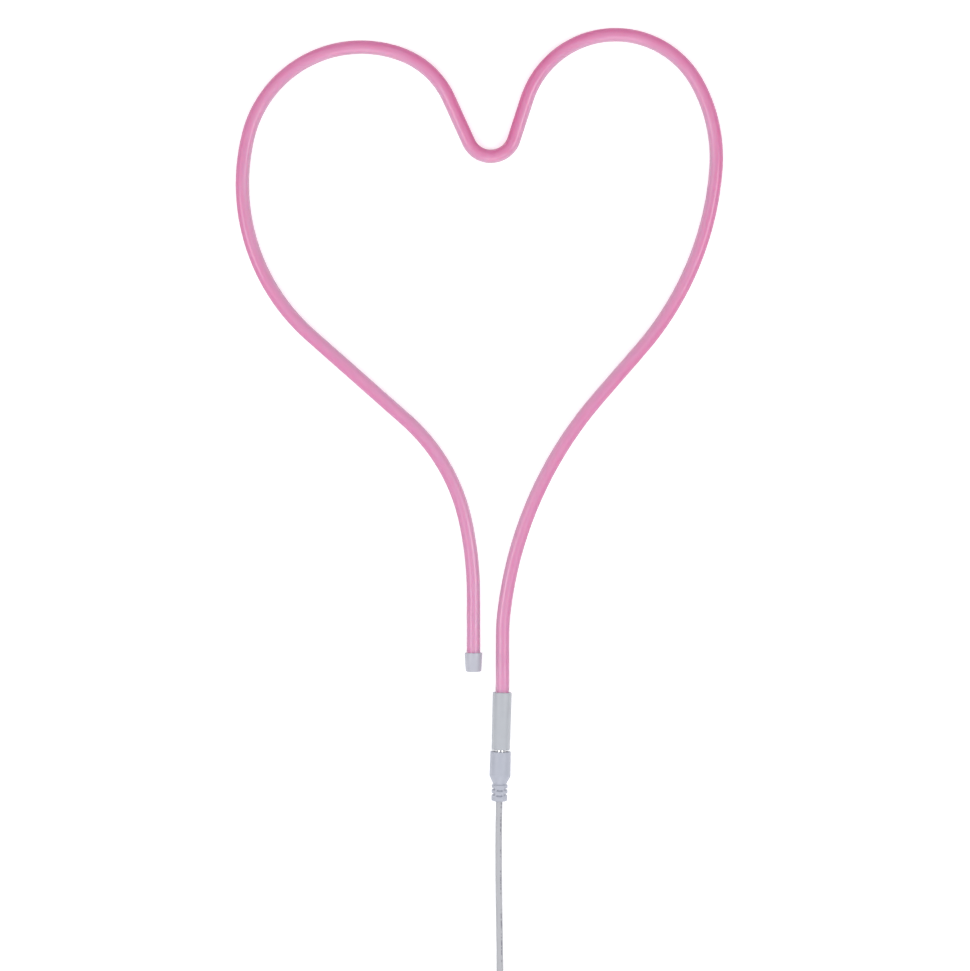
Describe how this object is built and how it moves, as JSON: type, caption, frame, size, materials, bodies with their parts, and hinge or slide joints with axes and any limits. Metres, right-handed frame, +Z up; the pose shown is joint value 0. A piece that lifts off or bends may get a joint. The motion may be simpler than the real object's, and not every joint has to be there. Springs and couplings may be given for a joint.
{
  "type": "neon flex heart light",
  "caption": "Pink LED neon flex tube bent into a heart outline, with an end cap, an in-line power socket and a pull-out barrel plug on a coiled lead.",
  "frame": {"origin": "middle of the footprint of the heart and its plug, on the surface they lie on, the lead left out", "axes": "+Z up from the surface, +Y from the plug towards the heart's two lobes, +X to the right seen from above"},
  "size_m": [0.2514, 0.5853, 0.015],
  "materials": {
    "pink_silicone": "satin, translucent",
    "milky_silicone": "satin",
    "circuit_film": "satin",
    "chip_package": "gloss",
    "resistor_body": "matt",
    "annealed_steel": "bare drawn",
    "red_insulation": "satin",
    "black_insulation": "satin",
    "white_cap_plastic": "satin",
    "clear_sealant": "gloss",
    "white_socket_plastic": "satin moulded",
    "black_insulator": "satin",
    "nickel_plate": "bright",
    "potting": "gloss",
    "brass_contact": "bright",
    "inner_mould_plastic": "matt",
    "white_pvc": "satin moulded",
    "white_lead_jacket": "satin",
    "tie_plastic": "satin",
    "plated_steel": "bright",
    "white_tongue_plastic": "satin",
    "gold_flash": "bright"
  },
  "bodies": {
    "heart": {"neon_jacket": "pink_silicone", "diffuser_core": "milky_silicone", "led_strip": "circuit_film", "led_chips": "chip_package", "chip_resistors": "resistor_body", "shaping_wire": "annealed_steel", "end_cap": "white_cap_plastic", "cap_sealant": "clear_sealant", "socket_shell": "white_socket_plastic", "socket_core": "black_insulator", "socket_pin": "nickel_plate", "socket_spring": "nickel_plate", "feed_wire_positive": "red_insulation", "feed_wire_negative": "black_insulation", "socket_potting": "potting"},
    "plug": {"plug_barrel": "nickel_plate", "plug_insulator": "black_insulator", "plug_tip_contact": "brass_contact", "plug_wire_positive": "red_insulation", "plug_wire_negative": "black_insulation", "plug_inner_mould": "inner_mould_plastic", "plug_grip": "white_pvc", "lead_cable": "white_lead_jacket", "lead_coil": "white_lead_jacket", "lead_tail": "white_lead_jacket", "coil_tie": "tie_plastic", "usb_grip": "white_pvc", "usb_shell": "plated_steel", "usb_tongue": "white_tongue_plastic", "usb_contacts": "gold_flash"}
  },
  "joints": [
    {"name": "plug_pull", "type": "slide", "parent": "heart", "child": "plug", "axis": [-0.0279, -0.9996, 0], "range_m": [0, 0.012]}
  ]
}
